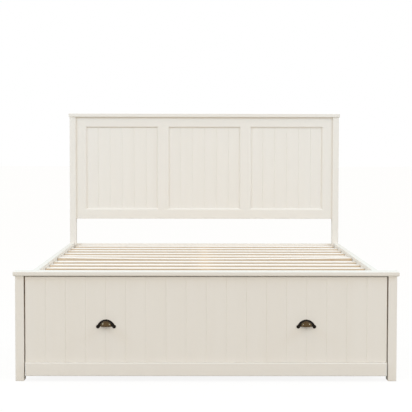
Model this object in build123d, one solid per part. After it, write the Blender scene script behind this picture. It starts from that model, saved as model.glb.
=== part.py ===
from build123d import *

import os

# King-size panelled bed with one wide drawer on castors at the foot end.
# Millimetres. +X is to the right seen from the foot, +Y towards the headboard, +Z up.
# The origin is on the floor, at the centre of the whole bed's outline.

# ---- Driving dimensions ----

# The mattress that the bed is made for, and the room left round it
mattress_width = 1500.0
mattress_length = 2000.0
mattress_side_gap = 14.0
mattress_end_gap = 17.5

# Timber sections
post_width = 36.0
post_depth = 55.0
side_rail_thick = 26.0
side_rail_height = 160.0
cross_rail_thick = 28.0
centre_rail_width = 45.0
centre_rail_height = 60.0
centre_leg_section = 45.0
ledge_width = 30.0
ledge_height = 30.0
ledge_end_gap = 2.0
ledge_arris = 1.0
edge_radius = 2.0
foot_chamfer = 1.5

# Heights above the floor
side_rail_top = 408.0
head_cross_rail_top = 403.0
slat_top = 390.5
foot_height = 455.0
head_height = 1168.0

# Caps on the foot and on the headboard
foot_cap_thick = 18.0
foot_cap_overhang = 8.0
foot_cap_back = 13.0
foot_cap_round = 6.0
head_cap_thick = 20.5
head_cap_side = 5.0
head_cap_overhang = 6.0
head_cap_round = 4.0

# Headboard frame and its three grooved panels
headboard_bottom = 551.0
headboard_recess = 9.0
headboard_thick = 22.0
stile_face = 53.0
muntin_face = 48.0
head_rail_face = 51.0
mould_width = 10.5
mould_depth = 9.0
panel_thick = 9.0
panel_groove_depth = 8.0
panel_tongue = 7.0
panel_board = 70.5
panel_boards = 6
headboard_arris = 1.5
panel_vee_width = 3.0
panel_vee_depth = 1.5

# Slats
slat_count = 13
slat_width = 79.0
slat_thick = 16.0
slat_end_gap = 2.0
slat_edge_radius = 1.5
bowed_slat = 8
slat_bow = 6.0

# Drawer
foot_cross_rail_height = 130.0
drawer_side_gap = 5.5
drawer_top_gap = 3.0
drawer_recess = 2.0
drawer_front_thick = 22.0
drawer_floor_gap = 22.5
drawer_board = 83.1
drawer_boards = 18
drawer_vee_width = 2.0
drawer_vee_depth = 1.0
plinth_height = 55.0
plinth_thick = 10.0
plinth_chamfer = 2.0
plinth_shadow_groove = 2.0
drawer_box_depth = 640.0
drawer_box_gap = 14.0
drawer_box_height = 235.0
drawer_wall = 15.0
drawer_base_thick = 12.0
drawer_base_height = 54.0
drawer_skirt = 8.0
drawer_base_housing = 6.0
centre_strip_web = 10.0
centre_strip_width = 44.0
centre_strip_thick = 12.0

# Cup handles
handle_width = 82.0
handle_height = 37.0
handle_projection = 24.0
handle_spacing = 829.0
handle_bottom = 219.6
handle_lobe_radius = 7.5
handle_mouth_rise = 1.5
handle_cup_width = 51.0
handle_cove = 3.5
handle_wall = 2.0
handle_rim_thick = 2.5
handle_rim_round = 1.2
handle_boss_radius = 3.6
handle_boss_spacing = 34.0
handle_boss_height = 6.5
handle_boss_length = 9.0

# Castors
castor_radius = 21.0
castor_wheel_width = 17.0
castor_axle_radius = 3.0
castor_running_gap = 0.05
castor_cheek_gap = 1.5
castor_metal = 2.5
castor_cheek_round = 7.0
castor_plate_width = 46.0
castor_plate_length = 60.0
castor_tread_round = 2.5
castor_hub_radius = 8.0
castor_hub_recess = 3.0
castor_side_inset = 100.0
castor_front_inset = 126.0
castor_back_inset = 64.0

# Support under the middle of the slats
centre_leg_inset_front = 800.0
centre_leg_inset_back = 600.0

# Fixings
dowel_radius = 4.0
dowel_half = 18.0
cap_dowel_up = 11.0
screw_radius = 2.0
screw_head_radius = 4.0
screw_length = 44.0
screw_edge_distance = 12.0
bolt_radius = 4.0
bolt_length = 100.0
bolt_head_radius = 7.0
bolt_head_height = 5.0
bolt_socket = 6.0
bolt_socket_depth = 3.0
bolt_spacing = 50.0
barrel_radius = 7.0
barrel_length = 20.0
barrel_inset = 30.0
bracket_arm = 55.0
bracket_reach = 45.0
bracket_height = 40.0
bracket_metal = 2.5
bracket_screw_radius = 2.25
bracket_screw_head_radius = 4.5
bracket_screw_head_height = 2.5
bracket_screw_length = 20.0
bracket_screw_inset = 16.0
bracket_screw_end = 8.0
bracket_screw_past_leg = 8.5
handle_screw_radius = 2.0
handle_screw_head_radius = 4.0
handle_screw_head_height = 2.5
handle_screw_clearance = 0.25
ledge_screw_count = 7

# ---- Worked-out places ----

inner_half = mattress_width / 2 + mattress_side_gap
outer_half = inner_half + side_rail_thick
post_inner = outer_half - post_width

rail_length = mattress_length + 2 * mattress_end_gap
handle_reach = handle_projection - drawer_recess
front_reach = max(handle_reach, foot_cap_overhang, plinth_thick - drawer_recess)
overall_length = front_reach + post_depth + rail_length + post_depth + head_cap_overhang

leg_front = front_reach - overall_length / 2
leg_back = leg_front + post_depth
post_front = leg_back + rail_length
post_back = post_front + post_depth
head_cross_front = post_back - cross_rail_thick
foot_cross_front = leg_back - cross_rail_thick
slat_run = head_cross_front - leg_back
slat_pitch = slat_run / slat_count

foot_cap_bottom = foot_height - foot_cap_thick
head_cap_bottom = head_height - head_cap_thick
foot_cross_bottom = foot_cap_bottom - foot_cross_rail_height
side_rail_bottom = side_rail_top - side_rail_height
slat_bottom = slat_top - slat_thick
ledge_bottom = slat_bottom - ledge_height
ledge_inner = inner_half - ledge_width
centre_rail_bottom = slat_bottom - centre_rail_height

drawer_front_face = leg_front + drawer_recess
drawer_front_back = drawer_front_face + drawer_front_thick
drawer_half = post_inner - drawer_side_gap
drawer_front_top = foot_cap_bottom - drawer_top_gap
box_half = post_inner - drawer_box_gap
box_back = drawer_front_back + drawer_box_depth
box_bottom = drawer_base_height - drawer_skirt
box_top = box_bottom + drawer_box_height
base_top = drawer_base_height + drawer_base_thick

head_frame_front = post_front + headboard_recess
head_frame_back = head_frame_front + headboard_thick
panel_front = head_frame_front + mould_depth
stile_full = stile_face + mould_width
muntin_full = muntin_face + 2 * mould_width
opening_width = (2 * post_inner - 2 * stile_full - 2 * muntin_full) / 3
opening_bottom = headboard_bottom + head_rail_face + mould_width
opening_top = head_cap_bottom - head_rail_face - mould_width

X_AXIS = (1, 0, 0)
Y_AXIS = (0, 1, 0)
Z_AXIS = (0, 0, 1)

pieces = {}
groups = {}


# ---- Helpers ----


def block(x_range, y_range, z_range):
    """A rectangular solid between two corners."""
    size = [high - low for low, high in (x_range, y_range, z_range)]
    middle = [(low + high) / 2 for low, high in (x_range, y_range, z_range)]
    return Pos(*middle) * Box(*size)


def eased(solid, axes, radius=edge_radius):
    """Rounds the long edges that run along the given axes."""
    for axis in axes:
        solid = fillet(solid.edges().filter_by(axis), radius)
    return solid


def rod(start, direction, length, radius):
    """A round bar that starts at a point and runs along a direction."""
    return extrude(Plane(start, z_dir=direction) * Circle(radius), length)


def plate(outline, y_low, y_high):
    """An upright board with an outline in X and Z, between two depths."""
    face = Plane.XZ.offset(-y_low) * make_face(Polyline(*outline, close=True))
    return extrude(face, -(y_high - y_low))


def vee(x, y_face, depth, width, z_low, z_high):
    """The cutter for one upright V-groove in a board's front face."""
    half = width / 2
    outline = [(x - half, y_face), (x + half, y_face), (x, y_face + depth)]
    face = Plane.XY.offset(z_low) * make_face(Polyline(*outline, close=True))
    return extrude(face, z_high - z_low)


def mirrored(side, x_low, x_high):
    """An X range on the right (side 1) or on the left (side -1)."""
    return (x_low, x_high) if side > 0 else (-x_high, -x_low)


def drill(names, cutter):
    """Takes the same cutter out of each named piece."""
    for name in names:
        pieces[name] = pieces[name] - cutter


def add_to_group(name, solid):
    groups.setdefault(name, []).append(solid)


SIDES = (("left", -1), ("right", 1))


# ---- Headboard ----


def head_posts():
    for name, side in SIDES:
        post = block(
            mirrored(side, post_inner, outer_half), (post_front, post_back), (0, head_cap_bottom)
        )
        post = eased(post, [Axis.Z])
        pieces[f"head_post_{name}"] = chamfer(post.faces().sort_by(Axis.Z)[0].edges(), foot_chamfer)


def head_cap():
    half = outer_half + head_cap_side
    cap = block(
        (-half, half),
        (post_front - head_cap_overhang, post_back + head_cap_overhang),
        (head_cap_bottom, head_height),
    )
    cap = fillet(cap.faces().sort_by(Axis.Z)[0].edges(), head_cap_round)
    pieces["head_cap"] = fillet(cap.faces().sort_by(Axis.Z)[-1].edges(), edge_radius)


def opening_starts():
    """The left edge of each panel opening, from left to right."""
    step = opening_width + muntin_full
    first = -post_inner + stile_full
    return [first + number * step for number in range(3)]


def moulded_profile(low, high):
    """The section of a panel opening: a rounded mould at the front, straight behind."""
    middle = 1 - 0.5**0.5
    outline = Polyline(
        (low, panel_front),
        (low, head_frame_back + 1),
        (high, head_frame_back + 1),
        (high, panel_front),
    )
    arc_high = ThreePointArc(
        (high, panel_front),
        (high + middle * mould_width, head_frame_front + middle * mould_depth),
        (high + mould_width, head_frame_front),
    )
    front = Polyline(
        (high + mould_width, head_frame_front),
        (high + mould_width, head_frame_front - 1),
        (low - mould_width, head_frame_front - 1),
        (low - mould_width, head_frame_front),
    )
    arc_low = ThreePointArc(
        (low - mould_width, head_frame_front),
        (low - middle * mould_width, head_frame_front + middle * mould_depth),
        (low, panel_front),
    )
    return make_face([*outline.edges(), arc_high.edge(), *front.edges(), arc_low.edge()])


def panel_pocket(x_low):
    """What a panel opening takes out of the frame: mitred mouldings, the hole and the panel groove."""
    x_high = x_low + opening_width
    x_reach = (x_high - x_low) / 2 + 2 * mould_width
    z_reach = (opening_top - opening_bottom) / 2 + 2 * mould_width
    upright = Plane.XY.offset((opening_bottom + opening_top) / 2) * moulded_profile(x_low, x_high)
    upright = extrude(upright, z_reach, both=True)
    level_plane = Plane(((x_low + x_high) / 2, 0, 0), x_dir=Z_AXIS, z_dir=(-1, 0, 0))
    level = extrude(level_plane * moulded_profile(opening_bottom, opening_top), x_reach, both=True)
    groove = block(
        (x_low - panel_groove_depth, x_high + panel_groove_depth),
        (panel_front, panel_front + panel_thick),
        (opening_bottom - panel_groove_depth, opening_top + panel_groove_depth),
    )
    return upright & level, groove


def headboard_frame():
    starts = opening_starts()
    z_low = opening_bottom
    z_high = opening_top
    face_low = z_low - mould_width
    face_high = z_high + mould_width
    for name, side in SIDES:
        edge = side * post_inner
        face = side * (post_inner - stile_face)
        mould = side * (post_inner - stile_full)
        outline = [(edge, headboard_bottom), (face, headboard_bottom), (face, face_low)]
        outline += [(mould, z_low), (mould, z_high), (face, face_high)]
        outline += [(face, head_cap_bottom), (edge, head_cap_bottom)]
        pieces[f"head_stile_{name}"] = plate(outline, head_frame_front, head_frame_back)
    for name, x_low in (("left", starts[1] - muntin_full), ("right", starts[2] - muntin_full)):
        x_high = x_low + muntin_full
        outline = [(x_low, z_low), (x_low + mould_width, face_low), (x_high - mould_width, face_low)]
        outline += [(x_high, z_low), (x_high, z_high), (x_high - mould_width, face_high)]
        outline += [(x_low + mould_width, face_high), (x_low, z_high)]
        pieces[f"head_muntin_{name}"] = plate(outline, head_frame_front, head_frame_back)
    half = post_inner - stile_face
    for name, outer, face, mould in (
        ("head_top_rail", head_cap_bottom, face_high, z_high),
        ("head_bottom_rail", headboard_bottom, face_low, z_low),
    ):
        outline = [(-half, outer), (-half, face)]
        for number, x_low in enumerate(starts):
            x_high = x_low + opening_width
            outline += [(x_low, mould), (x_high, mould)]
            if number < 2:
                outline += [(x_high + mould_width, face), (x_high + muntin_full - mould_width, face)]
        outline += [(half, face), (half, outer)]
        pieces[name] = plate(outline, head_frame_front, head_frame_back)
    members = [name for name in pieces if name.startswith(("head_stile", "head_muntin"))]
    members += ["head_top_rail", "head_bottom_rail"]
    for x_low in starts:
        pocket, groove = panel_pocket(x_low)
        drill(members, pocket)
        drill(members, groove)
    for name in ("head_stile_left", "head_bottom_rail", "head_stile_right"):
        lowest = pieces[name].edges().filter_by(Axis.X).group_by(Axis.Z)[0]
        pieces[name] = fillet(lowest, headboard_arris)


def head_panels():
    for name, x_low in zip(("left", "centre", "right"), opening_starts()):
        x_high = x_low + opening_width
        z_range = (opening_bottom - panel_tongue, opening_top + panel_tongue)
        panel = block(
            (x_low - panel_tongue, x_high + panel_tongue),
            (panel_front, panel_front + panel_thick),
            z_range,
        )
        for number in range(1, panel_boards):
            x = (x_low + x_high) / 2 + (number - panel_boards / 2) * panel_board
            panel -= vee(x, panel_front, panel_vee_depth, panel_vee_width, *z_range)
        pieces[f"head_panel_{name}"] = panel


# ---- Bed base ----


def side_rails():
    for name, side in SIDES:
        rail = block(
            mirrored(side, inner_half, outer_half),
            (leg_back, post_front),
            (side_rail_bottom, side_rail_top),
        )
        pieces[f"side_rail_{name}"] = eased(rail, [Axis.Y])
        ledge = block(
            mirrored(side, ledge_inner, inner_half),
            (leg_back + bracket_metal + ledge_end_gap, post_front - ledge_end_gap),
            (ledge_bottom, slat_bottom),
        )
        free_edges = ledge.edges().filter_by(Axis.Y).sort_by(Axis.X)
        free_edges = free_edges[:2] if side > 0 else free_edges[-2:]
        pieces[f"slat_ledge_{name}"] = fillet(free_edges, ledge_arris)


def cross_rails():
    head_rail = block(
        (-post_inner, post_inner),
        (head_cross_front, post_back),
        (head_cross_rail_top - side_rail_height, head_cross_rail_top),
    )
    pieces["head_cross_rail"] = eased(head_rail, [Axis.X])
    pieces["foot_cross_rail"] = block(
        (-post_inner, post_inner), (foot_cross_front, leg_back), (foot_cross_bottom, foot_cap_bottom)
    )


def foot_end():
    for name, side in SIDES:
        leg = block(
            mirrored(side, post_inner, outer_half), (leg_front, leg_back), (0, foot_cap_bottom)
        )
        leg = eased(leg, [Axis.Z])
        pieces[f"foot_leg_{name}"] = chamfer(leg.faces().sort_by(Axis.Z)[0].edges(), foot_chamfer)
    half = outer_half + foot_cap_overhang
    cap = block(
        (-half, half),
        (leg_front - foot_cap_overhang, leg_back + foot_cap_back),
        (foot_cap_bottom, foot_height),
    )
    cap = fillet(cap.faces().sort_by(Axis.Z)[0].edges(), foot_cap_round)
    pieces["foot_cap"] = fillet(cap.faces().sort_by(Axis.Z)[-1].edges(), edge_radius)


def slat_middle(number):
    """The Y position of a slat's centre line. Slat 1 is nearest the foot."""
    return leg_back + number * slat_pitch - slat_width / 2 - slat_end_gap / 2


def bow_lift(x):
    """How far the bowed slat stands above the others at a distance from the middle."""
    half = inner_half - slat_end_gap
    radius = (half**2 + slat_bow**2) / (2 * slat_bow)
    return radius - (radius**2 - x**2) ** 0.5


def bowed_board(half, y_low, y_high):
    """A slat that has sprung up at both ends, as one arc."""
    rise = slat_bow
    lower = ThreePointArc((-half, slat_bottom + rise), (0, slat_bottom), (half, slat_bottom + rise))
    upper = ThreePointArc((half, slat_top + rise), (0, slat_top), (-half, slat_top + rise))
    right = Line((half, slat_bottom + rise), (half, slat_top + rise))
    left = Line((-half, slat_top + rise), (-half, slat_bottom + rise))
    face = make_face([lower.edge(), right.edge(), upper.edge(), left.edge()])
    return extrude(Plane.XZ.offset(-y_low) * face, -(y_high - y_low))


def slat_half(number):
    """Half a slat's length. A slat that reaches between the head posts is cut shorter."""
    between_posts = slat_middle(number) + slat_width / 2 > post_front - slat_end_gap
    return (post_inner if between_posts else inner_half) - slat_end_gap


def slats():
    for number in range(1, slat_count + 1):
        half = slat_half(number)
        middle = slat_middle(number)
        y_range = (middle - slat_width / 2, middle + slat_width / 2)
        if number == bowed_slat:
            slat = bowed_board(half, *y_range)
        else:
            slat = block((-half, half), y_range, (slat_bottom, slat_top))
            slat = eased(slat, [Axis.X], slat_edge_radius)
        pieces[f"slat_{number:02d}"] = slat


def centre_support():
    half = centre_rail_width / 2
    pieces["centre_rail"] = block(
        (-half, half), (leg_back, head_cross_front), (centre_rail_bottom, slat_bottom)
    )
    section = centre_leg_section / 2
    for name, y in (
        ("front", leg_back + centre_leg_inset_front),
        ("rear", head_cross_front - centre_leg_inset_back),
    ):
        leg = block((-section, section), (y - section, y + section), (0, centre_rail_bottom))
        leg = eased(leg, [Axis.Z])
        pieces[f"centre_leg_{name}"] = chamfer(leg.faces().sort_by(Axis.Z)[0].edges(), foot_chamfer)
        add_dowel(("centre_rail", f"centre_leg_{name}"), (0, y, centre_rail_bottom), Z_AXIS)


# ---- Fixings of the frame ----


def add_dowel(names, middle, axis, before=dowel_half, after=dowel_half, group="frame_dowels"):
    """A glued wooden dowel across the joint of two pieces."""
    start = Vector(*middle) - Vector(*axis) * before
    dowel = rod(start, axis, before + after, dowel_radius)
    drill(names, dowel)
    add_to_group(group, dowel)


def frame_dowels():
    cross_y = (foot_cross_front + leg_back) / 2
    head_y = (head_cross_front + post_back) / 2
    frame_y = (head_frame_front + head_frame_back) / 2
    post_x = (post_inner + outer_half) / 2
    rail_z = side_rail_top - side_rail_height / 2
    opening_middle = (opening_bottom + opening_top) / 2
    leg_y = (leg_front + leg_back) / 2
    post_y = (post_front + post_back) / 2
    for name, side in SIDES:
        x = side * post_inner
        for share in (0.3, 0.7):
            z = foot_cross_bottom + share * foot_cross_rail_height
            add_dowel((f"foot_leg_{name}", "foot_cross_rail"), (x, cross_y, z), X_AXIS)
        for shift in (-bolt_spacing, bolt_spacing):
            z = head_cross_rail_top - side_rail_height / 2 + shift
            add_dowel((f"head_post_{name}", "head_cross_rail"), (x, head_y, z), X_AXIS)
            middle = (side * (inner_half + side_rail_thick / 2), leg_back, rail_z + shift)
            add_dowel((f"foot_leg_{name}", f"side_rail_{name}"), middle, Y_AXIS)
        for z in (opening_bottom, opening_middle, opening_top):
            add_dowel((f"head_post_{name}", f"head_stile_{name}"), (x, frame_y, z), X_AXIS)
        face = side * (post_inner - stile_face)
        for rail, z in (
            ("head_bottom_rail", headboard_bottom + head_rail_face / 2),
            ("head_top_rail", head_cap_bottom - head_rail_face / 2),
        ):
            add_dowel((f"head_stile_{name}", rail), (face, frame_y, z), X_AXIS)
        below = dowel_half
        foot_middle = (side * post_x, leg_y, foot_cap_bottom)
        add_dowel((f"foot_leg_{name}", "foot_cap"), foot_middle, Z_AXIS, below, cap_dowel_up)
        head_middle = (side * post_x, post_y, head_cap_bottom)
        add_dowel((f"head_post_{name}", "head_cap"), head_middle, Z_AXIS, below, cap_dowel_up)
    for x in (-post_inner / 2, 0, post_inner / 2):
        foot_middle = (x, cross_y, foot_cap_bottom)
        add_dowel(("foot_cross_rail", "foot_cap"), foot_middle, Z_AXIS, dowel_half, cap_dowel_up)
        head_middle = (x, frame_y, head_cap_bottom)
        add_dowel(("head_top_rail", "head_cap"), head_middle, Z_AXIS, dowel_half, cap_dowel_up)
    for name, x_low in zip(("left", "right"), opening_starts()[1:]):
        x = x_low - muntin_full / 2
        for rail, z in (
            ("head_bottom_rail", opening_bottom - mould_width),
            ("head_top_rail", opening_top + mould_width),
        ):
            add_dowel((f"head_muntin_{name}", rail), (x, frame_y, z), Z_AXIS)
    rail_z = (max(centre_rail_bottom, foot_cross_bottom) + slat_bottom) / 2
    for rail, y in (("foot_cross_rail", leg_back), ("head_cross_rail", head_cross_front)):
        for x in (-centre_rail_width / 4, centre_rail_width / 4):
            add_dowel(("centre_rail", rail), (x, y, rail_z), Y_AXIS)


def wood_screw(tip_direction, head_point):
    """A countersunk screw: its flat head is at head_point and it runs along tip_direction."""
    head_height = screw_head_radius - screw_radius
    plane = Plane(head_point, z_dir=tip_direction)
    shank = extrude(plane * Circle(screw_radius), screw_length)
    head = loft([plane * Circle(screw_head_radius), plane.offset(head_height) * Circle(screw_radius)])
    return shank + head


def wood_screws():
    for number in range(1, slat_count + 1):
        x = min((ledge_inner + inner_half) / 2, slat_half(number) - screw_edge_distance)
        y = min(slat_middle(number), post_front - ledge_end_gap - screw_edge_distance)
        lift = bow_lift(x) if number == bowed_slat else 0
        for name, side in SIDES:
            point = (side * x, y, slat_top + lift)
            screw = wood_screw((0, 0, -1), point)
            drill((f"slat_{number:02d}", f"slat_ledge_{name}"), screw)
            add_to_group("wood_screws", screw)
    for number in range(ledge_screw_count):
        slat = 1 + round(number * (slat_count - 2) / (ledge_screw_count - 1))
        y = (slat_middle(slat) + slat_middle(slat + 1)) / 2
        for name, side in SIDES:
            point = (side * ledge_inner, y, (ledge_bottom + slat_bottom) / 2)
            screw = wood_screw((side, 0, 0), point)
            drill((f"slat_ledge_{name}", f"side_rail_{name}"), screw)
            add_to_group("wood_screws", screw)


def rail_bolts():
    """Bolts through the head posts into barrel nuts in the side rails."""
    x = inner_half + side_rail_thick / 2
    top_z = ledge_bottom - barrel_radius - bolt_radius
    for name, side in SIDES:
        for z in (top_z, top_z - bolt_spacing):
            shank = rod((side * x, post_back, z), (0, -1, 0), bolt_length, bolt_radius)
            head = rod((side * x, post_back, z), Y_AXIS, bolt_head_height, bolt_head_radius)
            socket_plane = Plane((side * x, post_back + bolt_head_height, z), z_dir=(0, -1, 0))
            socket = extrude(socket_plane * RegularPolygon(bolt_socket / 2, 6), bolt_socket_depth)
            nut_start = (side * inner_half, post_front - barrel_inset, z)
            nut = rod(nut_start, (side, 0, 0), barrel_length, barrel_radius)
            drill((f"head_post_{name}",), shank)
            drill((f"side_rail_{name}",), shank + nut)
            add_to_group("rail_bolts", shank + head - socket)
            add_to_group("barrel_nuts", nut - shank)


def corner_brackets():
    """Steel angles that hold the side rails to the foot cross rail, with their screws."""
    z_high = ledge_bottom - bracket_metal
    z_low = z_high - bracket_height
    z_middle = (z_low + z_high) / 2
    inner = inner_half - bracket_metal
    across_end = post_inner - bracket_reach
    for name, side in SIDES:
        along_rail = block(
            mirrored(side, inner, inner_half), (leg_back, leg_back + bracket_arm), (z_low, z_high)
        )
        across = block(
            mirrored(side, across_end, inner_half),
            (leg_back, leg_back + bracket_metal),
            (z_low, z_high),
        )
        bracket = along_rail + across
        screws = []
        for distance in (bracket_metal + bracket_screw_inset, bracket_arm - bracket_screw_end):
            start = (side * inner, leg_back + distance, z_middle)
            screws.append((start, (side, 0, 0), f"side_rail_{name}"))
        for x in (post_inner - bracket_screw_past_leg, across_end + bracket_screw_end):
            start = (side * x, leg_back + bracket_metal, z_middle)
            screws.append((start, (0, -1, 0), "foot_cross_rail"))
        for start, direction, member in screws:
            back = tuple(-part for part in direction)
            shank = rod(start, direction, bracket_screw_length, bracket_screw_radius)
            head = rod(start, back, bracket_screw_head_height, bracket_screw_head_radius)
            bracket -= shank
            drill((member,), shank)
            add_to_group("bracket_screws", shank + head)
        add_to_group("corner_brackets", bracket)


# ---- Drawer ----


def drawer_front():
    z_range = (drawer_floor_gap, drawer_front_top)
    front = block((-drawer_half, drawer_half), (drawer_front_face, drawer_front_back), z_range)
    front = fillet(front.faces().sort_by(Axis.Y)[0].edges(), edge_radius)
    plinth_top = drawer_floor_gap + plinth_height
    for number in range(1, drawer_boards):
        x = (number - drawer_boards / 2) * drawer_board
        front -= vee(
            x, drawer_front_face, drawer_vee_depth, drawer_vee_width, plinth_top, drawer_front_top
        )
    front -= block(
        (-drawer_half, drawer_half),
        (drawer_front_face, drawer_front_face + plinth_shadow_groove),
        (plinth_top, plinth_top + plinth_shadow_groove),
    )
    front -= block(
        (-box_half + drawer_wall, box_half - drawer_wall),
        (drawer_front_back - drawer_base_housing, drawer_front_back),
        (drawer_base_height, base_top),
    )
    pieces["drawer_front"] = front
    plinth = block(
        (-drawer_half, drawer_half),
        (drawer_front_face - plinth_thick, drawer_front_face),
        (drawer_floor_gap, plinth_top),
    )
    front_edges = plinth.faces().sort_by(Axis.Y)[0].edges()
    pieces["drawer_plinth"] = chamfer(front_edges, plinth_chamfer)


def drawer_box():
    wall_inner = box_half - drawer_wall
    y_range = (drawer_front_back, box_back)
    z_range = (box_bottom, box_top)
    housing = block(
        (-wall_inner - drawer_base_housing, wall_inner + drawer_base_housing),
        (drawer_front_back, box_back - drawer_wall + drawer_base_housing),
        (drawer_base_height, base_top),
    )
    for name, side in SIDES:
        wall = block(mirrored(side, wall_inner, box_half), y_range, z_range)
        pieces[f"drawer_side_{name}"] = eased(wall, [Axis.Y]) - housing
    back = block((-wall_inner, wall_inner), (box_back - drawer_wall, box_back), z_range)
    pieces["drawer_back"] = eased(back, [Axis.X]) - housing
    base_y = (drawer_front_back - drawer_base_housing, box_back - drawer_wall + drawer_base_housing)
    web = centre_strip_web / 2
    for name, side in SIDES:
        base = block(
            mirrored(side, web, wall_inner), base_y, (drawer_base_height, base_top)
        )
        tongue = block(
            mirrored(side, wall_inner, wall_inner + drawer_base_housing),
            (drawer_front_back, base_y[1]),
            (drawer_base_height, base_top),
        )
        pieces[f"drawer_base_{name}"] = base + tongue
    inner_y = (drawer_front_back, box_back - drawer_wall)
    flange = centre_strip_width / 2
    strip_web = block((-web, web), inner_y, (drawer_base_height, base_top))
    strip_top = base_top + centre_strip_thick
    strip_flange = block((-flange, flange), inner_y, (base_top, strip_top))
    pieces["drawer_centre_strip"] = strip_web + strip_flange
    for name, side in SIDES:
        x = side * (box_half - drawer_wall / 2)
        for share in (0.35, 0.85):
            z = box_bottom + share * drawer_box_height
            reach = drawer_front_thick / 2
            add_dowel(
                ("drawer_front", f"drawer_side_{name}"),
                (x, drawer_front_back, z),
                Y_AXIS,
                reach,
                dowel_half,
                "drawer_dowels",
            )
            y = box_back - drawer_wall / 2
            reach = drawer_wall / 2
            before, after = (reach, dowel_half) if side < 0 else (dowel_half, reach)
            add_dowel(
                ("drawer_back", f"drawer_side_{name}"),
                (side * wall_inner, y, z),
                X_AXIS,
                before,
                after,
                "drawer_dowels",
            )


# ---- Cup handles ----

handle_base = handle_bottom + handle_lobe_radius
handle_mouth = handle_base + handle_mouth_rise
handle_arch = handle_height - handle_lobe_radius


def arch_face(half_width, rise):
    """A segment of a circle that stands on its chord."""
    arc = ThreePointArc((half_width, 0), (0, rise), (-half_width, 0))
    return make_face([arc.edge(), Line((-half_width, 0), (half_width, 0)).edge()])


def quarter_dome(half_width, reach):
    """A quarter of a rounded dome, flat below and at the back, at the mouth's height."""
    return Pos(0, 0, handle_mouth_rise) * revolve(
        Plane.XZ * arch_face(half_width, reach), Axis.X, 90
    )


def handle_rim():
    """The flat rim round the cup, an arch that ends in two round lobes, with its front edge eased."""
    lobe_x = handle_width / 2 - handle_lobe_radius
    outline = arch_face(lobe_x + handle_lobe_radius / 2, handle_arch)
    for side in (-1, 1):
        outline += Pos(side * lobe_x, 0) * Circle(handle_lobe_radius)
    rim = extrude(Plane.XZ * outline, handle_rim_thick)
    return fillet(rim.faces().sort_by(Axis.Y)[0].edges(), handle_rim_round)


def cup_handle(x_middle):
    """A half-round cup, open below, that flows into its flat rim through a cove."""
    cup_half = handle_cup_width / 2
    inner_half_width = cup_half - handle_wall
    rim = handle_rim()
    dome = quarter_dome(cup_half, handle_projection)
    cup = rim + dome
    foot_of_dome = new_edges(rim, dome, combined=cup).filter_by(GeomType.LINE, reverse=True)
    cup = fillet(foot_of_dome, handle_cove)
    cup -= quarter_dome(inner_half_width, handle_projection - handle_wall)
    cup -= block(
        (-inner_half_width, inner_half_width),
        (-handle_rim_thick, 0),
        (-handle_lobe_radius, handle_mouth_rise),
    )
    for side in (-1, 1):
        start = (side * handle_boss_spacing / 2, 0, handle_mouth_rise + handle_boss_height)
        cup += rod(start, (0, -1, 0), handle_boss_length, handle_boss_radius)
    return Pos(x_middle, drawer_front_face, handle_base) * cup


def handles():
    for name, side in SIDES:
        x_middle = side * handle_spacing / 2
        handle = cup_handle(x_middle)
        for boss in (-1, 1):
            x = x_middle + boss * handle_boss_spacing / 2
            z = handle_mouth + handle_boss_height
            thread = handle_boss_length - handle_wall
            length = drawer_front_thick + thread
            start = (x, drawer_front_back, z)
            shank = rod(start, (0, -1, 0), length, handle_screw_radius)
            head = rod(start, Y_AXIS, handle_screw_head_height, handle_screw_head_radius)
            clearance = handle_screw_radius + handle_screw_clearance
            hole = rod(start, (0, -1, 0), drawer_front_thick, clearance)
            handle -= shank
            drill(("drawer_front",), hole)
            add_to_group("handle_screws", shank + head)
        pieces[f"handle_{name}"] = handle


# ---- Castors ----


def castor_wheel():
    """A wheel on the X axis, with a rounded tread, a raised hub and a running bore."""
    half = castor_wheel_width / 2
    wheel = extrude(Plane.YZ * Circle(castor_radius), half, both=True)
    wheel = fillet(wheel.edges().filter_by(GeomType.CIRCLE), castor_tread_round)
    rim = castor_radius - 3 * castor_tread_round
    for side in (-1, 1):
        face = Plane.YZ.offset(side * half) * (Circle(rim) - Circle(castor_hub_radius))
        wheel -= extrude(face, -side * castor_hub_recess)
    bore = castor_axle_radius + castor_running_gap
    return wheel - extrude(Plane.YZ * Circle(bore), castor_wheel_width, both=True)


def castor_fork():
    """A pressed fork round the wheel, with its fixing plate at the drawer's base."""
    top = drawer_base_height - castor_radius
    inner = castor_wheel_width / 2 + castor_cheek_gap
    fork = block(
        (-castor_plate_width / 2, castor_plate_width / 2),
        (-castor_plate_length / 2, castor_plate_length / 2),
        (top - castor_metal, top),
    )
    half_top = castor_plate_length / 3
    corners = [(-castor_cheek_round, 0), (castor_cheek_round, 0)]
    corners += [(half_top, top - castor_metal), (-half_top, top - castor_metal)]
    cheek = make_face(Polyline(*corners, close=True)) + Circle(castor_cheek_round)
    for side in (-1, 1):
        fork += extrude(Plane.YZ.offset(side * inner) * cheek, side * castor_metal)
    return fork - castor_axle()


def castor_axle():
    """The riveted axle, across both cheeks."""
    length = castor_wheel_width + 2 * castor_cheek_gap + 2 * castor_metal
    return extrude(Plane.YZ * Circle(castor_axle_radius), length / 2, both=True)


def castors():
    for depth_name, y in (
        ("front", drawer_front_back + castor_front_inset),
        ("rear", box_back - castor_back_inset),
    ):
        for name, side in SIDES:
            place = Pos(side * (box_half - castor_side_inset), y, castor_radius)
            pieces[f"castor_wheel_{depth_name}_{name}"] = place * castor_wheel()
            add_to_group("castor_forks", place * castor_fork())
            add_to_group("castor_forks", place * castor_axle())


# ---- Build and write ----

head_posts()
head_cap()
headboard_frame()
head_panels()
side_rails()
cross_rails()
foot_end()
slats()
centre_support()
frame_dowels()
wood_screws()
rail_bolts()
corner_brackets()
drawer_front()
drawer_box()
handles()
castors()

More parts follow.
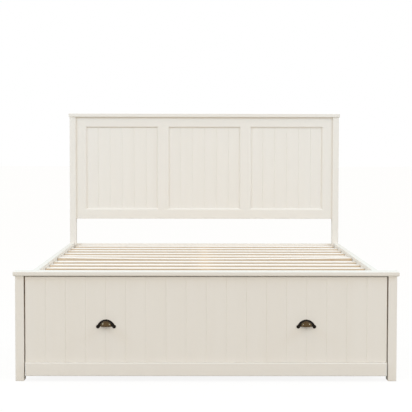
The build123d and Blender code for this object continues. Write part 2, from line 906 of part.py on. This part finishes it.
os.makedirs("parts", exist_ok=True)
for node, solid in pieces.items():
    export_step(solid, f"parts/{node}.step")
for node, solids in groups.items():
    export_step(Compound(children=solids), f"parts/{node}.step")
print(len(pieces) + len(groups), "nodes, overall length", overall_length)
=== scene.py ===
"""Finishes, studio and camera for a cream-painted panelled bed with pine slats and a drawer on castors."""

import math
import random

import bpy
from mathutils import Matrix, Vector


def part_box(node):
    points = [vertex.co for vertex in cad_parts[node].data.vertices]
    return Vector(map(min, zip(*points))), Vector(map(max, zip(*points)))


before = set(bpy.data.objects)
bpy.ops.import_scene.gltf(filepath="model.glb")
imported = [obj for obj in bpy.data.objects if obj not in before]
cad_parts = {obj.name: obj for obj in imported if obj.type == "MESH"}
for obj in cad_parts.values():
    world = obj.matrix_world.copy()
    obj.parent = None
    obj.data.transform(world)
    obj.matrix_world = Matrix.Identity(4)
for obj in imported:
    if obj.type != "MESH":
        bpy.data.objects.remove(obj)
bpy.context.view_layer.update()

# ---- Measures of the studio ----

# Where the camera stands, in metres: across from the bed's middle, out from the foot legs, up from the floor
CAMERA_SIDE = -0.0294
CAMERA_DISTANCE = 4.876
CAMERA_HEIGHT = 0.9613
CAMERA_REACH = 200.0

# Its lens and film in millimetres, and how far it tips, turns and leans in radians
CAMERA_LENS = 103.6
CAMERA_FILM = 36.0
CAMERA_DOWN = 0.048
CAMERA_TURN = 0.0057
CAMERA_ROLL = 0.0016

# The walls' light turns from warm to cool between two values of a direction's Y
FRONT_WALLS = (1.035, 0.97, 0.89)
BACK_WALLS = (0.81, 0.875, 0.875)
WALLS_TURN = (-0.3, 0.5)
WALLS_STRENGTH = 1.02

# The right-hand softbox, in metres and watts; the left-hand one mirrors it
SOFTBOX_PLACE = (3.9, -1.8, 2.9)
SOFTBOX_TARGET = (0.0, -0.5, 0.5)
SOFTBOX_SIZE = (1.0, 1.4)
SOFTBOX_POWER = 65.0
SOFTBOX_COLOUR = (0.51, 0.74, 1.0)

# The floor keeps only a trace of the bed's shadow where it is looked at straight on
FLOOR_HALF = 60.0
FLOOR_COLOUR = (0.52, 0.49, 0.45)
FLOOR_GLOW = 1.12
FLOOR_SHADOW_SHARE = 0.2


# ---- Node building ----


def set_inputs(tree, made, inputs):
    """Sets a node's inputs, by name or by number, to a number or colour, or links them to another socket."""
    for key, given in inputs.items():
        socket = made.inputs[key]
        if isinstance(given, bpy.types.NodeSocket):
            tree.links.new(given, socket)
        elif isinstance(given, tuple) and len(given) == 3 and socket.type == "RGBA":
            socket.default_value = (*given, 1.0)
        else:
            socket.default_value = given


def node(tree, kind, inputs=None, **settings):
    """A shader node with its settings and its inputs."""
    made = tree.nodes.new("ShaderNode" + kind)
    for key, value in settings.items():
        setattr(made, key, value)
    set_inputs(tree, made, inputs or {})
    return made


def maths(tree, operation, first, second=0.0, clamp=False):
    made = node(tree, "Math", {0: first, 1: second}, operation=operation, use_clamp=clamp)
    return made.outputs[0]


def vectors(tree, operation, first, second=(0.0, 0.0, 0.0)):
    made = node(tree, "VectorMath", {0: first, 1: second}, operation=operation)
    return made.outputs["Value" if operation == "DOT_PRODUCT" else "Vector"]


def remap(tree, value, low, high, to_low=0.0, to_high=1.0):
    """A value carried from one range to another, and held at that range's ends."""
    inputs = {"Value": value, "From Min": low, "From Max": high, "To Min": to_low, "To Max": to_high}
    return node(tree, "MapRange", inputs).outputs["Result"]


def noise(tree, vector, scale, detail=3.0, roughness=0.5):
    inputs = {"Vector": vector, "Scale": scale, "Detail": detail, "Roughness": roughness}
    return node(tree, "TexNoise", inputs).outputs["Fac"]


def streaks(tree, vector, stretch, detail, roughness):
    """Noise drawn out along the grain: the stretch is its scale along the grain and twice across it."""
    return noise(tree, vectors(tree, "MULTIPLY", vector, stretch), 1.0, detail, roughness)


def blend_colours(tree, share, first, second, mode="MIX"):
    inputs = {"Factor": share, 6: first, 7: second}
    return node(tree, "Mix", inputs, data_type="RGBA", blend_type=mode).outputs[2]


def lay_over(tree, colour, mask, share, shade, mode="MIX"):
    """A colour with a shade laid over it by a mask, at a share of the mask's strength."""
    return blend_colours(tree, maths(tree, "MULTIPLY", mask, share), colour, shade, mode)


def new_group(name, inputs, outputs):
    """An empty shader node group: its tree, what it is given and what it puts out."""
    tree = bpy.data.node_groups.new(name, "ShaderNodeTree")
    for label, kind, default in inputs:
        socket = tree.interface.new_socket(label, in_out="INPUT", socket_type="NodeSocket" + kind)
        if default is not None:
            socket.default_value = default
    for label in outputs:
        tree.interface.new_socket(label, in_out="OUTPUT", socket_type="NodeSocketFloat")
    return tree, tree.nodes.new("NodeGroupInput").outputs, tree.nodes.new("NodeGroupOutput")


def use_group(tree, group, inputs):
    made = tree.nodes.new("ShaderNodeGroup")
    made.node_tree = group
    set_inputs(tree, made, inputs)
    return made.outputs


# ---- Camera, lights, floor ----


def add_camera():
    camera = bpy.data.cameras.new("camera")
    camera.lens = CAMERA_LENS
    camera.sensor_width = CAMERA_FILM
    camera.clip_end = CAMERA_REACH
    holder = bpy.data.objects.new("camera", camera)
    bpy.context.scene.collection.objects.link(holder)
    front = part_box("foot_leg_left")[0][1]
    place = Vector((CAMERA_SIDE, front - CAMERA_DISTANCE, CAMERA_HEIGHT))
    turn = Matrix.Rotation(-CAMERA_TURN, 4, "Z")
    tilt = Matrix.Rotation(math.pi / 2 - CAMERA_DOWN, 4, "X")
    roll = Matrix.Rotation(CAMERA_ROLL, 4, "Z")
    holder.matrix_world = Matrix.Translation(place) @ turn @ tilt @ roll
    bpy.context.scene.camera = holder


def add_softbox(name, side):
    """A rectangular soft light on one side, -1 for left or 1 for right, turned towards the bed."""
    light = bpy.data.lights.new(name, "AREA")
    light.shape = "RECTANGLE"
    light.size, light.size_y = SOFTBOX_SIZE
    light.energy = SOFTBOX_POWER
    light.color = SOFTBOX_COLOUR
    across, along, up = SOFTBOX_PLACE
    place = Vector((side * across, along, up))
    holder = bpy.data.objects.new(name, light)
    holder.location = place
    holder.rotation_euler = (Vector(SOFTBOX_TARGET) - place).to_track_quat("-Z", "Y").to_euler()
    bpy.context.scene.collection.objects.link(holder)


def add_walls():
    """Warm white walls in front of the bed and cool ones behind it, pure white where they are in view."""
    world = bpy.data.worlds.new("studio")
    bpy.context.scene.world = world
    world.use_nodes = True
    tree = world.node_tree
    tree.nodes.clear()
    direction = node(tree, "SeparateXYZ", {0: node(tree, "TexCoord").outputs["Generated"]}).outputs
    colour = blend_colours(tree, remap(tree, direction["Y"], *WALLS_TURN), FRONT_WALLS, BACK_WALLS)
    soft = node(tree, "Background", {"Color": colour, "Strength": WALLS_STRENGTH})
    plain = node(tree, "Background", {"Color": (1.0, 1.0, 1.0), "Strength": 1.0})
    seen = node(tree, "LightPath").outputs["Is Camera Ray"]
    mix = node(tree, "MixShader", {0: seen, 1: soft.outputs[0], 2: plain.outputs[0]})
    node(tree, "OutputWorld", {"Surface": mix.outputs[0]})


def add_floor():
    """A pale matt floor that throws light up at the bed, and looks almost white where it is in view."""
    mesh = bpy.data.meshes.new("floor")
    corners = [(x * FLOOR_HALF, y * FLOOR_HALF, 0.0) for x, y in ((-1, -1), (1, -1), (1, 1), (-1, 1))]
    mesh.from_pydata(corners, [], [(0, 1, 2, 3)])
    floor = bpy.data.objects.new("floor", mesh)
    bpy.context.scene.collection.objects.link(floor)
    material = bpy.data.materials.new("studio_floor")
    material.use_nodes = True
    tree = material.node_tree
    tree.nodes.clear()
    matt = node(tree, "BsdfDiffuse", {"Color": FLOOR_COLOUR})
    glow = node(tree, "Emission", {"Strength": FLOOR_GLOW})
    in_view = node(tree, "MixShader", {0: FLOOR_SHADOW_SHARE, 1: glow.outputs[0], 2: matt.outputs[0]})
    seen = node(tree, "LightPath").outputs["Is Camera Ray"]
    either = node(tree, "MixShader", {0: seen, 1: matt.outputs[0], 2: in_view.outputs[0]})
    node(tree, "OutputMaterial", {"Surface": either.outputs[0]})
    mesh.materials.append(material)


def add_studio():
    add_camera()
    add_walls()
    add_floor()
    add_softbox("side_left", -1)
    add_softbox("side_right", 1)
    bpy.context.scene.view_settings.view_transform = "Standard"
    bpy.context.scene.view_settings.look = "None"


# ---- Effects that several finishes share ----

# Scales of drawn-out noise, along the grain and twice across it, for paint and for bare wood
PAINT_GRAIN = (7.0, 240.0, 240.0)
PAINT_MOTTLE = (1.3, 22.0, 22.0)
WOOD_DRIFT = (1.6, 6.0, 6.0)
WOOD_FIBRES = (10.0, 420.0, 420.0)
WOOD_FIGURE = (0.9, 26.0, 26.0)

# A knot's radius as a share of its cell, smallest and largest, and how far it bends the rings in radians
KNOT_SIZES = (0.025, 0.085)
KNOT_BEND = 7.0


def edge_wear_and_highlight_group():
    """Outside edges found by a rounded normal, broken up by noise: where an edge has been rubbed, and where
    the cream paint gets a painted highlight.
    """
    tree, given, result = new_group(
        "edge_wear_and_highlight",
        [("Vector", "Vector", None), ("Radius", "Float", 0.002), ("Break Up", "Float", 220.0)],
        ["Edges"],
    )
    rounded = node(tree, "Bevel", {"Radius": given["Radius"]}, samples=6).outputs["Normal"]
    agreement = vectors(tree, "DOT_PRODUCT", rounded, node(tree, "NewGeometry").outputs["Normal"])
    edge = remap(tree, agreement, 0.995, 0.86)
    speckle = remap(tree, noise(tree, given["Vector"], given["Break Up"], 5.0, 0.65), 0.36, 0.62)
    set_inputs(tree, result, {"Edges": maths(tree, "MULTIPLY", edge, speckle, True)})
    return tree


def corner_dust_and_shade_group():
    """Where dust gathers and shade falls: inside corners and grooves found by ambient occlusion, in patches;
    what it darkens is partly painted shade.
    """
    tree, given, result = new_group(
        "corner_dust_and_shade", [("Vector", "Vector", None), ("Distance", "Float", 0.02)], ["Corners"]
    )
    open_share = node(tree, "AmbientOcclusion", {"Distance": given["Distance"]}, samples=8).outputs["AO"]
    closed = remap(tree, open_share, 0.7, 0.2)
    patches = remap(tree, noise(tree, given["Vector"], 30.0, 4.0), 0.3, 0.7, 0.6, 1.0)
    set_inputs(tree, result, {"Corners": maths(tree, "MULTIPLY", closed, patches, True)})
    return tree


def sprayed_paint_group():
    """Satin paint on wood: slow mottling, orange peel, and the grain below that shows through."""
    tree, given, result = new_group(
        "sprayed_paint",
        [("Board", "Vector", None), ("Grain Depth", "Float", 0.5)],
        ["Mottle", "Height", "Patches"],
    )
    board = given["Board"]
    grain = maths(tree, "MULTIPLY", streaks(tree, board, PAINT_GRAIN, 3.0, 0.6), given["Grain Depth"])
    peel = maths(tree, "MULTIPLY", noise(tree, board, 330.0, 2.0, 0.45), 0.35)
    shown = {
        "Mottle": streaks(tree, board, PAINT_MOTTLE, 4.0, 0.55),
        "Height": maths(tree, "ADD", grain, peel),
        "Patches": noise(tree, board, 9.0, 3.0, 0.5),
    }
    set_inputs(tree, result, shown)
    return tree


def timber_group():
    """Softwood: growth rings round a pith, fibres along the board, pin knots and slow colour bands."""
    tree, given, result = new_group(
        "timber",
        [
            ("Board", "Vector", None),
            ("Ring Scale", "Float", 70.0),
            ("Wander", "Float", 0.05),
            ("Knot Cells", "Float", 12.0),
            ("Knot Share", "Float", 0.2),
        ],
        ["Rings", "Fibres", "Knots", "Halo", "Figure"],
    )
    board = given["Board"]
    cells = node(tree, "TexVoronoi", {"Vector": board, "Scale": given["Knot Cells"]}).outputs
    pick = node(tree, "SeparateColor", {0: cells["Color"]}).outputs
    chosen = maths(tree, "LESS_THAN", pick["Red"], given["Knot Share"])
    size = remap(tree, pick["Green"], 0.0, 1.0, *KNOT_SIZES)
    from_knot = maths(tree, "DIVIDE", cells["Distance"], size)
    halo = maths(tree, "MULTIPLY", maths(tree, "POWER", remap(tree, from_knot, 4.5, 0.8), 2.0), chosen)
    slow = vectors(tree, "MULTIPLY", board, WOOD_DRIFT)
    drift = node(tree, "TexNoise", {"Vector": slow, "Scale": 1.0, "Detail": 2.0}).outputs["Color"]
    drift = vectors(tree, "SUBTRACT", drift, (0.5, 0.5, 0.5))
    drift = node(tree, "VectorMath", {0: drift, "Scale": given["Wander"]}, operation="SCALE").outputs[0]
    round_pith = {
        "Vector": vectors(tree, "ADD", board, drift),
        "Scale": given["Ring Scale"],
        "Distortion": 0.6,
        "Detail Scale": 0.5,
        "Phase Offset": maths(tree, "MULTIPLY", halo, KNOT_BEND),
    }
    rings = node(
        tree, "TexWave", round_pith, wave_type="RINGS", rings_direction="X", wave_profile="SAW"
    ).outputs["Fac"]
    shown = {
        "Rings": rings,
        "Fibres": streaks(tree, board, WOOD_FIBRES, 3.0, 0.6),
        "Knots": maths(tree, "MULTIPLY", remap(tree, from_knot, 1.15, 0.8), chosen),
        "Halo": halo,
        "Figure": streaks(tree, board, WOOD_FIGURE, 2.0, 0.5),
    }
    set_inputs(tree, result, shown)
    return tree


def new_material(name):
    """A new material, its tree, its Principled shader and the object's own coordinates."""
    material = bpy.data.materials.new(name)
    material.use_nodes = True
    tree = material.node_tree
    return material, tree, tree.nodes["Principled BSDF"], node(tree, "TexCoord").outputs


def along_grain(tree, vector, axis):
    """The same coordinates, turned so that X runs along the grain."""
    parts = node(tree, "SeparateXYZ", {0: vector}).outputs
    order = {"X": "XYZ", "Y": "YZX", "Z": "ZXY"}[axis]
    return node(tree, "CombineXYZ", {place: parts[part] for place, part in zip("XYZ", order)}).outputs[0]


def bump(tree, height, strength, distance):
    return node(tree, "Bump", {"Strength": strength, "Distance": distance, "Height": height}).outputs[0]


# ---- Cream paint ----

CREAM = (0.860, 0.824, 0.765)
CREAM_WARM = (0.830, 0.785, 0.710)
# The colour below lightens outside edges: partly worn paint, partly a painted highlight
CREAM_WEAR_AND_HIGHLIGHT = (0.895, 0.870, 0.825)
# The colour below is painted shade for inside corners and grooves, with some dust
CREAM_DUST_AND_SHADE = (0.600, 0.495, 0.365)


def cream_paint(name, axis, groups):
    """Satin cream paint on a board whose grain runs along an axis."""
    material, tree, shader, place = new_material(name)
    board = along_grain(tree, place["Object"], axis)
    paint = use_group(tree, groups["sprayed_paint"], {"Board": board, "Grain Depth": 0.45})
    wear_and_highlight = use_group(tree, groups["edge_wear_and_highlight"], {"Vector": board, "Radius": 0.0016})
    dust_and_shade = use_group(tree, groups["corner_dust_and_shade"], {"Vector": board, "Distance": 0.012})
    colour = blend_colours(tree, remap(tree, paint["Mottle"], 0.3, 0.7, 0.0, 0.35), CREAM, CREAM_WARM)
    # Outside edges are lightened: partly worn paint, partly a painted highlight where the edges catch the
    # light
    colour = lay_over(tree, colour, wear_and_highlight["Edges"], 0.5, CREAM_WEAR_AND_HIGHLIGHT)
    # Inside corners and grooves are darkened towards warm tan by occlusion: painted shade, with some dust
    colour = lay_over(tree, colour, dust_and_shade["Corners"], 0.16, CREAM_DUST_AND_SHADE)
    satin = remap(tree, paint["Patches"], 0.3, 0.7, 0.40, 0.48)
    polish = maths(tree, "MULTIPLY", wear_and_highlight["Edges"], 0.06)
    look = {
        "Base Color": colour,
        "Roughness": maths(tree, "SUBTRACT", satin, polish),
        "IOR": 1.48,
        "Normal": bump(tree, paint["Height"], 0.25, 0.0004),
    }
    set_inputs(tree, shader, look)
    return material


# ---- Bare pine ----

PINE_PALE = (0.80, 0.665, 0.500)
PINE_LATE = (0.655, 0.455, 0.265)
PINE_BAND = (0.735, 0.570, 0.390)
PINE_HALO = (0.620, 0.390, 0.195)
PINE_KNOT = (0.185, 0.090, 0.040)
PINE_END = (0.560, 0.400, 0.250)

# How far one board may differ from the next: in tone, and in metres where it was cut from the log
PINE_TONE = 0.05
LOG_ALONG = 9.0
PITH_SIDE = 0.05
PITH_BELOW = (0.03, 0.11)


def pine_board(name, choose, groups):
    """Planed bare pine for one board, with rings of its own: the grain runs along its longest side."""
    low, high = (Vector(corner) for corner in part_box(name))
    axis = "XYZ"[max(range(3), key=lambda number: (high - low)[number])]
    material, tree, shader, place = new_material("bare_pine_" + name)
    centre = tuple((low + high) / 2)
    board = along_grain(tree, vectors(tree, "SUBTRACT", place["Object"], centre), axis)
    along = choose.uniform(-LOG_ALONG, LOG_ALONG)
    pith = (along, choose.uniform(-PITH_SIDE, PITH_SIDE), choose.uniform(*PITH_BELOW))
    board = vectors(tree, "ADD", board, pith)
    wood = use_group(tree, groups["timber"], {"Board": board})
    dust_and_shade = use_group(tree, groups["corner_dust_and_shade"], {"Vector": board, "Distance": 0.015})
    tone = 1.0 + choose.uniform(-PINE_TONE, PINE_TONE)
    pale, late, band = (tuple(part * tone for part in shade) for shade in (PINE_PALE, PINE_LATE, PINE_BAND))
    colour = blend_colours(tree, remap(tree, wood["Figure"], 0.35, 0.65), pale, band)
    colour = lay_over(tree, colour, maths(tree, "POWER", wood["Rings"], 2.5), 0.75, late)
    colour = blend_colours(tree, remap(tree, wood["Fibres"], 0.45, 0.75, 0.0, 0.25), colour, late)
    colour = lay_over(tree, colour, wood["Halo"], 0.7, PINE_HALO)
    colour = lay_over(tree, colour, wood["Knots"], 0.9, PINE_KNOT)
    facing = node(tree, "SeparateXYZ", {0: place["Normal"]}).outputs[axis]
    end = remap(tree, maths(tree, "ABSOLUTE", facing), 0.7, 0.9, 0.0, 0.6)
    colour = blend_colours(tree, end, colour, PINE_END, "MULTIPLY")
    # Corners and grooves are darkened by occlusion: painted shade, with some dust
    colour = lay_over(tree, colour, dust_and_shade["Corners"], 0.35, CREAM_DUST_AND_SHADE, "MULTIPLY")
    height = maths(tree, "ADD", maths(tree, "MULTIPLY", wood["Fibres"], 0.7), wood["Rings"])
    look = {
        "Base Color": colour,
        "Roughness": remap(tree, wood["Rings"], 0.0, 1.0, 0.46, 0.36),
        "IOR": 1.5,
        "Sheen Weight": 1.0,
        "Sheen Roughness": 0.6,
        "Normal": bump(tree, height, 0.22, 0.0004),
    }
    set_inputs(tree, shader, look)
    return material


# ---- Plywood ----

PLY_PALE = (0.74, 0.60, 0.43)
PLY_DARK = (0.62, 0.46, 0.30)
PLY_LINE = (0.34, 0.22, 0.13)
PLY_LAYERS_PER_METRE = 420.0
PLY_LINE_SHARE = 0.35


def plywood(groups):
    """Sanded plywood: a soft rotary-cut face, and dark glue lines on the cut edges."""
    material, tree, shader, place = new_material("plywood")
    board = along_grain(tree, place["Object"], "X")
    settings = {"Board": board, "Ring Scale": 9.0, "Wander": 0.5, "Knot Share": 0.03}
    wood = use_group(tree, groups["timber"], settings)
    dust_and_shade = use_group(tree, groups["corner_dust_and_shade"], {"Vector": board, "Distance": 0.03})
    colour = blend_colours(tree, remap(tree, wood["Figure"], 0.3, 0.7), PLY_PALE, PLY_DARK)
    colour = lay_over(tree, colour, wood["Rings"], 0.3, PLY_DARK)
    colour = lay_over(tree, colour, wood["Knots"], 0.7, PINE_KNOT)
    height = node(tree, "SeparateXYZ", {0: place["Object"]}).outputs["Z"]
    layer = maths(tree, "FRACT", maths(tree, "MULTIPLY", height, PLY_LAYERS_PER_METRE))
    upward = maths(tree, "ABSOLUTE", node(tree, "SeparateXYZ", {0: place["Normal"]}).outputs["Z"])
    on_edge = maths(tree, "LESS_THAN", upward, 0.5)
    line = maths(tree, "MULTIPLY", maths(tree, "LESS_THAN", layer, PLY_LINE_SHARE), on_edge)
    colour = lay_over(tree, colour, line, 0.6, PLY_LINE)
    # Corners and grooves are darkened by occlusion: painted shade, with some dust
    colour = lay_over(tree, colour, dust_and_shade["Corners"], 0.4, CREAM_DUST_AND_SHADE, "MULTIPLY")
    look = {
        "Base Color": colour,
        "Roughness": remap(tree, wood["Fibres"], 0.2, 0.8, 0.5, 0.62),
        "Normal": bump(tree, wood["Fibres"], 0.2, 0.0003),
    }
    set_inputs(tree, shader, look)
    return material


# ---- Antique bronze ----

BRONZE_BLACK = (0.014, 0.010, 0.007)
BRONZE_BROWN = (0.085, 0.050, 0.014)
BRONZE_RUBBED = (0.420, 0.300, 0.180)

# How far in front of the drawer the rim ends and the rubbed dome begins, and how ragged that line is
RIM_PROUD = 0.0065
DOME_PROUD = 0.0125
DOME_RAGGED = 0.002


def antique_bronze(groups):
    """Cast bronze blackened in its hollows and round the rim, brown where hands rub the dome."""
    material, tree, shader, place = new_material("antique_bronze")
    cast = place["Object"]
    wear_and_highlight = use_group(tree, groups["edge_wear_and_highlight"], {"Vector": cast, "Radius": 0.0015, "Break Up": 600.0})
    dust_and_shade = use_group(tree, groups["corner_dust_and_shade"], {"Vector": cast, "Distance": 0.006})
    drawer_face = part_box("handle_left")[1][1]
    proud = maths(tree, "SUBTRACT", drawer_face, node(tree, "SeparateXYZ", {0: cast}).outputs["Y"])
    ragged = remap(tree, noise(tree, cast, 160.0, 4.0, 0.6), 0.3, 0.7, -DOME_RAGGED, DOME_RAGGED)
    dome = remap(tree, maths(tree, "ADD", proud, ragged), RIM_PROUD, DOME_PROUD)
    specks = remap(tree, noise(tree, cast, 900.0, 3.0, 0.6), 0.5, 0.7, 0.0, 0.25)
    colour = blend_colours(tree, dome, BRONZE_BLACK, BRONZE_BROWN)
    colour = blend_colours(tree, specks, colour, BRONZE_BLACK)
    colour = lay_over(tree, colour, wear_and_highlight["Edges"], 0.25, BRONZE_RUBBED)
    colour = lay_over(tree, colour, dust_and_shade["Corners"], 0.8, BRONZE_BLACK)
    look = {
        "Base Color": colour,
        "Metallic": remap(tree, dome, 0.0, 1.0, 0.35, 0.85),
        "Roughness": remap(tree, dome, 0.0, 1.0, 0.42, 0.22),
        "Coat Weight": maths(tree, "MULTIPLY", dome, 0.55),
        "Coat Roughness": 0.1,
        "Specular IOR Level": 0.2,
        "Normal": bump(tree, noise(tree, cast, 420.0, 3.0, 0.5), 0.1, 0.0003),
    }
    set_inputs(tree, shader, look)
    return material


# ---- Zinc-plated steel ----

ZINC_DULL = (0.50, 0.51, 0.53)
ZINC_BRIGHT = (0.62, 0.63, 0.64)
ZINC_RUBBED = (0.80, 0.80, 0.79)
ZINC_DUST_AND_SHADE = (0.20, 0.19, 0.17)


def zinc_steel(groups):
    """Zinc-plated steel, slightly clouded."""
    material, tree, shader, place = new_material("zinc_steel")
    plate = place["Object"]
    wear_and_highlight = use_group(tree, groups["edge_wear_and_highlight"], {"Vector": plate, "Radius": 0.0008, "Break Up": 500.0})
    dust_and_shade = use_group(tree, groups["corner_dust_and_shade"], {"Vector": plate, "Distance": 0.01})
    crystals = node(tree, "TexVoronoi", {"Vector": plate, "Scale": 160.0}).outputs["Color"]
    clouds = node(tree, "RGBToBW", {"Color": crystals}).outputs[0]
    colour = blend_colours(tree, clouds, ZINC_DULL, ZINC_BRIGHT)
    colour = lay_over(tree, colour, wear_and_highlight["Edges"], 0.5, ZINC_RUBBED)
    # Corners are darkened by occlusion: painted shade, with some dust
    colour = lay_over(tree, colour, dust_and_shade["Corners"], 0.5, ZINC_DUST_AND_SHADE)
    look = {
        "Base Color": colour,
        "Metallic": 1.0,
        "Roughness": remap(tree, clouds, 0.2, 0.8, 0.28, 0.42),
        "Normal": bump(tree, noise(tree, plate, 1400.0, 2.0), 0.08, 0.0002),
    }
    set_inputs(tree, shader, look)
    return material


# ---- Castor nylon ----

NYLON_DARK = (0.030, 0.030, 0.032)
NYLON_SCUFFED = (0.085, 0.083, 0.080)
NYLON_RUBBED = (0.17, 0.165, 0.16)
NYLON_DUST_AND_SHADE = (0.20, 0.18, 0.15)


def castor_nylon(groups):
    """Dark moulded nylon, scuffed on the tread."""
    material, tree, shader, place = new_material("castor_nylon")
    wheel = place["Object"]
    wear_and_highlight = use_group(tree, groups["edge_wear_and_highlight"], {"Vector": wheel, "Radius": 0.0012, "Break Up": 400.0})
    dust_and_shade = use_group(tree, groups["corner_dust_and_shade"], {"Vector": wheel, "Distance": 0.008})
    scuffs = remap(tree, noise(tree, wheel, 240.0, 5.0, 0.7), 0.45, 0.75)
    colour = blend_colours(tree, scuffs, NYLON_DARK, NYLON_SCUFFED)
    colour = lay_over(tree, colour, wear_and_highlight["Edges"], 0.6, NYLON_RUBBED)
    # Corners are darkened by occlusion: painted shade, with some dust
    colour = lay_over(tree, colour, dust_and_shade["Corners"], 0.5, NYLON_DUST_AND_SHADE)
    look = {
        "Base Color": colour,
        "Roughness": remap(tree, scuffs, 0.0, 1.0, 0.36, 0.6),
        "Normal": bump(tree, noise(tree, wheel, 1100.0, 3.0), 0.15, 0.0003),
    }
    set_inputs(tree, shader, look)
    return material


# ---- Dressing the CAD pieces ----

# How the names of the pieces in each finish begin; painted ones are split by the way their grain runs
BARE_PINE = ("slat_0", "slat_1", "centre_", "drawer_side", "drawer_back", "drawer_centre", "foot_cross")
PINE_DOWELS = ("frame_dowels", "drawer_dowels")
SHEETS = ("drawer_base",)
FIXINGS = ("corner_brackets", "bracket_screws", "rail_bolts", "barrel_nuts", "wood_screws", "handle_screws")
FORKS = ("castor_forks",)
WHEELS = ("castor_wheel",)
HANDLES = ("handle_left", "handle_right")
UPRIGHT = ("head_post", "foot_leg", "head_stile", "head_muntin", "head_panel", "drawer_front")
FOOT_TO_HEAD = ("side_rail", "slat_ledge")
ACROSS = ("head_cap", "head_top", "head_bottom", "head_cross", "foot_cap", "drawer_plinth")

# Starts the draws that set one pine board apart from the next
BOARD_SEED = 481


def dress_pieces():
    """Gives every CAD piece its finish: each pine piece has its own material, and the rest share theirs."""
    groups = {
        "edge_wear_and_highlight": edge_wear_and_highlight_group(),
        "corner_dust_and_shade": corner_dust_and_shade_group(),
        "sprayed_paint": sprayed_paint_group(),
        "timber": timber_group(),
    }
    finishes = (
        (ACROSS, cream_paint("cream_paint_across", "X", groups)),
        (FOOT_TO_HEAD, cream_paint("cream_paint_foot_to_head", "Y", groups)),
        (UPRIGHT, cream_paint("cream_paint_upright", "Z", groups)),
        (SHEETS, plywood(groups)),
        (HANDLES, antique_bronze(groups)),
        (FIXINGS + FORKS, zinc_steel(groups)),
        (WHEELS, castor_nylon(groups)),
    )
    choose = random.Random(BOARD_SEED)
    for name, piece in sorted(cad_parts.items()):
        if name.startswith(BARE_PINE + PINE_DOWELS):
            finish = pine_board(name, choose, groups)
        else:
            finish = next(made for beginnings, made in finishes if name.startswith(beginnings))
        for slot in piece.material_slots:
            slot.material = finish


add_studio()
dress_pieces()
